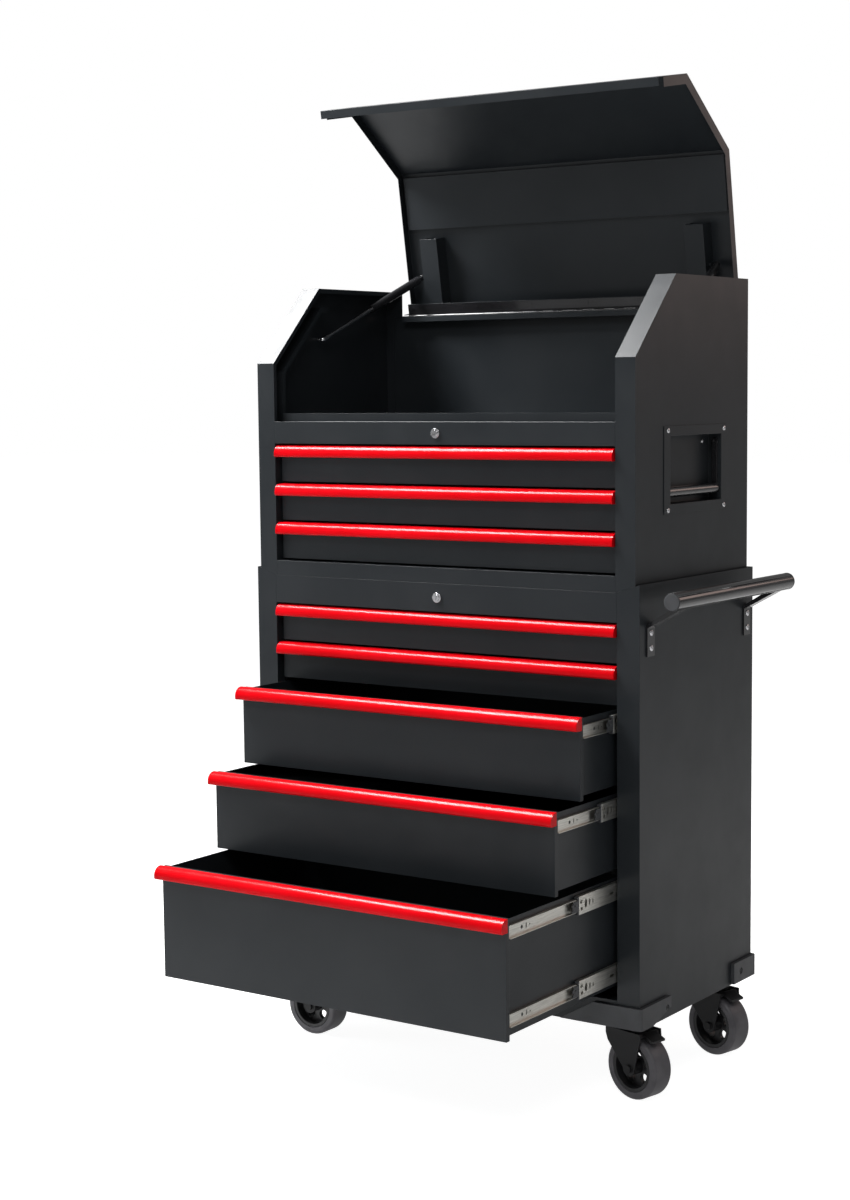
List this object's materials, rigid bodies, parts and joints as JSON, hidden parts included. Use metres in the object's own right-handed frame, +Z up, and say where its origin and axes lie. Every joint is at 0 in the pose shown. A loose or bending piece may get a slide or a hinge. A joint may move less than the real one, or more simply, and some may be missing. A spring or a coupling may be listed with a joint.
{
  "type": "rolling tool chest",
  "caption": "Cabinet on casters with sliding drawers, topped by a drawer chest whose lid lifts on gas struts.",
  "frame": {"origin": "middle of the bounding box at floor level", "axes": "+Z up, -Y the drawer fronts, +X the side with the push handle and the swivel casters"},
  "size_m": [1.009, 0.9204, 1.974],
  "materials": {
    "dark_powder_coat": "satin powder coat",
    "zinc_steel": "zinc plated, satin",
    "black_paint": "gloss black",
    "black_plastic": "fine moulded texture",
    "black_steel": "satin black",
    "wheel_plastic": "moulded, satin",
    "bright_steel": "bright plated",
    "chrome": "polished",
    "red_gloss": "high gloss"
  },
  "bodies": {
    "cabinet": {"cabinet_side_panels": "dark_powder_coat", "cabinet_back_panel": "dark_powder_coat", "cabinet_top_deck": "dark_powder_coat", "cabinet_base_pan": "dark_powder_coat", "slide_uprights": "zinc_steel", "slide_case_members": "zinc_steel", "chest_side_panels": "dark_powder_coat", "chest_back_panel": "dark_powder_coat", "chest_till_floor": "dark_powder_coat", "chest_top_rail": "dark_powder_coat", "chest_base_pan": "dark_powder_coat", "hinge_body_leaf": "dark_powder_coat", "side_handle_pans": "dark_powder_coat", "push_handle": "black_paint", "corner_bumpers": "black_plastic", "caster_mounts": "black_steel", "fasteners": "bright_steel"},
    "lid": {"lid_shell": "dark_powder_coat", "lid_brackets": "dark_powder_coat", "hinge_lid_leaf": "dark_powder_coat"},
    "strut_rod_right": {"strut_rod_right": "bright_steel"},
    "strut_cylinder_right": {"strut_cylinder_right": "black_paint"},
    "strut_rod_left": {"strut_rod_left": "bright_steel"},
    "strut_cylinder_left": {"strut_cylinder_left": "black_paint"},
    "cabinet_drawer_1": {"cabinet_drawer_1_box": "dark_powder_coat", "cabinet_drawer_1_handle": "red_gloss"},
    "cabinet_drawer_1_mids": {"cabinet_drawer_1_slide_mids": "zinc_steel"},
    "cabinet_drawer_2": {"cabinet_drawer_2_box": "dark_powder_coat", "cabinet_drawer_2_handle": "red_gloss"},
    "cabinet_drawer_2_mids": {"cabinet_drawer_2_slide_mids": "zinc_steel"},
    "cabinet_drawer_3": {"cabinet_drawer_3_box": "dark_powder_coat", "cabinet_drawer_3_handle": "red_gloss"},
    "cabinet_drawer_3_mids": {"cabinet_drawer_3_slide_mids": "zinc_steel"},
    "cabinet_drawer_4": {"cabinet_drawer_4_box": "dark_powder_coat", "cabinet_drawer_4_handle": "red_gloss"},
    "cabinet_drawer_4_mids": {"cabinet_drawer_4_slide_mids": "zinc_steel"},
    "cabinet_drawer_5": {"cabinet_drawer_5_box": "dark_powder_coat", "cabinet_drawer_5_handle": "red_gloss"},
    "cabinet_drawer_5_mids": {"cabinet_drawer_5_slide_mids": "zinc_steel"},
    "chest_drawer_1": {"chest_drawer_1_box": "dark_powder_coat", "chest_drawer_1_handle": "red_gloss"},
    "chest_drawer_1_mids": {"chest_drawer_1_slide_mids": "zinc_steel"},
    "chest_drawer_2": {"chest_drawer_2_box": "dark_powder_coat", "chest_drawer_2_handle": "red_gloss"},
    "chest_drawer_2_mids": {"chest_drawer_2_slide_mids": "zinc_steel"},
    "chest_drawer_3": {"chest_drawer_3_box": "dark_powder_coat", "chest_drawer_3_handle": "red_gloss"},
    "chest_drawer_3_mids": {"chest_drawer_3_slide_mids": "zinc_steel"},
    "side_bail_right": {"side_bail_right": "black_paint"},
    "side_bail_left": {"side_bail_left": "black_paint"},
    "cabinet_lock_plug": {"cabinet_lock_plug": "chrome"},
    "chest_lock_plug": {"chest_lock_plug": "chrome"},
    "swivel_fork_front": {"swivel_fork_front": "black_steel"},
    "brake_pedal_front": {"brake_pedal_front": "black_steel"},
    "swivel_wheel_front": {"swivel_wheel_front": "wheel_plastic"},
    "swivel_fork_rear": {"swivel_fork_rear": "black_steel"},
    "brake_pedal_rear": {"brake_pedal_rear": "black_steel"},
    "swivel_wheel_rear": {"swivel_wheel_rear": "wheel_plastic"},
    "fixed_wheel_front": {"fixed_wheel_front": "wheel_plastic"},
    "fixed_wheel_rear": {"fixed_wheel_rear": "wheel_plastic"}
  },
  "joints": [
    {"name": "lid_hinge", "type": "hinge", "parent": "cabinet", "child": "lid", "pos_m": [-0.0395, 0.40877, 1.5315], "axis": [1, 0, 0], "range_deg": [0, 80.6]},
    {"name": "strut_swing_right", "type": "hinge", "parent": "cabinet", "child": "strut_rod_right", "pos_m": [0.3905, 0.14477, 1.478], "axis": [-0.0433, -0.4458, 0.8941], "range_deg": [0, 6.13]},
    {"name": "strut_slide_right", "type": "slide", "parent": "strut_rod_right", "child": "strut_cylinder_right", "axis": [-0.1978, 0.881, 0.4297], "range_m": [-0.11064, 0]},
    {"name": "strut_swing_left", "type": "hinge", "parent": "cabinet", "child": "strut_rod_left", "pos_m": [-0.4695, 0.14477, 1.478], "axis": [-0.0433, 0.4458, -0.8941], "range_deg": [0, 6.13]},
    {"name": "strut_slide_left", "type": "slide", "parent": "strut_rod_left", "child": "strut_cylinder_left", "axis": [0.1978, 0.881, 0.4297], "range_m": [-0.11064, 0]},
    {"name": "cabinet_drawer_1_slide", "type": "slide", "parent": "cabinet", "child": "cabinet_drawer_1", "axis": [0, -1, 0], "range_m": [0, 0.395]},
    {"name": "cabinet_drawer_1_mid_slide", "type": "slide", "parent": "cabinet", "child": "cabinet_drawer_1_mids", "axis": [0, -1, 0], "range_m": [-0.0005, 0.198]},
    {"name": "cabinet_drawer_2_slide", "type": "slide", "parent": "cabinet", "child": "cabinet_drawer_2", "axis": [0, -1, 0], "range_m": [0, 0.395]},
    {"name": "cabinet_drawer_2_mid_slide", "type": "slide", "parent": "cabinet", "child": "cabinet_drawer_2_mids", "axis": [0, -1, 0], "range_m": [-0.0005, 0.198]},
    {"name": "cabinet_drawer_3_slide", "type": "slide", "parent": "cabinet", "child": "cabinet_drawer_3", "axis": [0, -1, 0], "range_m": [-0.137, 0.258]},
    {"name": "cabinet_drawer_3_mid_slide", "type": "slide", "parent": "cabinet", "child": "cabinet_drawer_3_mids", "axis": [0, -1, 0], "range_m": [-0.069, 0.1295]},
    {"name": "cabinet_drawer_4_slide", "type": "slide", "parent": "cabinet", "child": "cabinet_drawer_4", "axis": [0, -1, 0], "range_m": [-0.228, 0.167]},
    {"name": "cabinet_drawer_4_mid_slide", "type": "slide", "parent": "cabinet", "child": "cabinet_drawer_4_mids", "axis": [0, -1, 0], "range_m": [-0.1145, 0.084]},
    {"name": "cabinet_drawer_5_slide", "type": "slide", "parent": "cabinet", "child": "cabinet_drawer_5", "axis": [0, -1, 0], "range_m": [-0.395, 0]},
    {"name": "cabinet_drawer_5_mid_slide", "type": "slide", "parent": "cabinet", "child": "cabinet_drawer_5_mids", "axis": [0, -1, 0], "range_m": [-0.198, 0.0005]},
    {"name": "chest_drawer_1_slide", "type": "slide", "parent": "cabinet", "child": "chest_drawer_1", "axis": [0, -1, 0], "range_m": [0, 0.395]},
    {"name": "chest_drawer_1_mid_slide", "type": "slide", "parent": "cabinet", "child": "chest_drawer_1_mids", "axis": [0, -1, 0], "range_m": [-0.0005, 0.198]},
    {"name": "chest_drawer_2_slide", "type": "slide", "parent": "cabinet", "child": "chest_drawer_2", "axis": [0, -1, 0], "range_m": [0, 0.395]},
    {"name": "chest_drawer_2_mid_slide", "type": "slide", "parent": "cabinet", "child": "chest_drawer_2_mids", "axis": [0, -1, 0], "range_m": [-0.0005, 0.198]},
    {"name": "chest_drawer_3_slide", "type": "slide", "parent": "cabinet", "child": "chest_drawer_3", "axis": [0, -1, 0], "range_m": [0, 0.395]},
    {"name": "chest_drawer_3_mid_slide", "type": "slide", "parent": "cabinet", "child": "chest_drawer_3_mids", "axis": [0, -1, 0], "range_m": [-0.0005, 0.198]},
    {"name": "side_bail_right_hinge", "type": "hinge", "parent": "cabinet", "child": "side_bail_right", "pos_m": [0.3965, 0.18277, 1.262], "axis": [0, 1, 0], "range_deg": [-85, 0]},
    {"name": "side_bail_left_hinge", "type": "hinge", "parent": "cabinet", "child": "side_bail_left", "pos_m": [-0.4755, 0.18277, 1.262], "axis": [0, 1, 0], "range_deg": [0, 85]},
    {"name": "cabinet_lock_turn", "type": "hinge", "parent": "cabinet", "child": "cabinet_lock_plug", "pos_m": [-0.0395, -0.04723, 0.9585], "axis": [0, 1, 0], "range_deg": [0, 90]},
    {"name": "chest_lock_turn", "type": "hinge", "parent": "cabinet", "child": "chest_lock_plug", "pos_m": [-0.0395, -0.04723, 1.284], "axis": [0, 1, 0], "range_deg": [0, 90]},
    {"name": "caster_swivel_front", "type": "hinge", "parent": "cabinet", "child": "swivel_fork_front", "pos_m": [0.3565, 0.00877, 0.133], "axis": [0, 0, 1], "continuous": true},
    {"name": "swivel_wheel_spin_front", "type": "hinge", "parent": "swivel_fork_front", "child": "swivel_wheel_front", "pos_m": [0.38378, 0.00247, 0.0625], "axis": [0.225, 0.9744, 0], "continuous": true},
    {"name": "brake_pedal_press_front", "type": "hinge", "parent": "swivel_fork_front", "child": "brake_pedal_front", "pos_m": [0.40522, -0.00248, 0.129], "axis": [0.225, 0.9744, 0], "range_deg": [0, 10]},
    {"name": "caster_swivel_rear", "type": "hinge", "parent": "cabinet", "child": "swivel_fork_rear", "pos_m": [0.3565, 0.34377, 0.133], "axis": [0, 0, 1], "continuous": true},
    {"name": "swivel_wheel_spin_rear", "type": "hinge", "parent": "swivel_fork_rear", "child": "swivel_wheel_rear", "pos_m": [0.38378, 0.33747, 0.0625], "axis": [0.225, 0.9744, 0], "continuous": true},
    {"name": "brake_pedal_press_rear", "type": "hinge", "parent": "swivel_fork_rear", "child": "brake_pedal_rear", "pos_m": [0.40522, 0.33252, 0.129], "axis": [0.225, 0.9744, 0], "range_deg": [0, 10]},
    {"name": "fixed_wheel_spin_front", "type": "hinge", "parent": "cabinet", "child": "fixed_wheel_front", "pos_m": [-0.4015, 0.00477, 0.0625], "axis": [0, 1, 0], "continuous": true},
    {"name": "fixed_wheel_spin_rear", "type": "hinge", "parent": "cabinet", "child": "fixed_wheel_rear", "pos_m": [-0.4015, 0.35377, 0.0625], "axis": [0, 1, 0], "continuous": true}
  ],
  "couplings": [
    {"joint": "strut_swing_right", "follows": "lid_hinge", "ratio": 0.075394},
    {"joint": "strut_slide_right", "follows": "lid_hinge", "m_per_rad": -0.078505},
    {"joint": "strut_swing_left", "follows": "lid_hinge", "ratio": 0.075394},
    {"joint": "strut_slide_left", "follows": "lid_hinge", "m_per_rad": -0.078505},
    {"joint": "cabinet_drawer_1_mid_slide", "follows": "cabinet_drawer_1_slide", "ratio": 0.5},
    {"joint": "cabinet_drawer_2_mid_slide", "follows": "cabinet_drawer_2_slide", "ratio": 0.5},
    {"joint": "cabinet_drawer_3_mid_slide", "follows": "cabinet_drawer_3_slide", "ratio": 0.5},
    {"joint": "cabinet_drawer_4_mid_slide", "follows": "cabinet_drawer_4_slide", "ratio": 0.5},
    {"joint": "cabinet_drawer_5_mid_slide", "follows": "cabinet_drawer_5_slide", "ratio": 0.5},
    {"joint": "chest_drawer_1_mid_slide", "follows": "chest_drawer_1_slide", "ratio": 0.5},
    {"joint": "chest_drawer_2_mid_slide", "follows": "chest_drawer_2_slide", "ratio": 0.5},
    {"joint": "chest_drawer_3_mid_slide", "follows": "chest_drawer_3_slide", "ratio": 0.5}
  ]
}
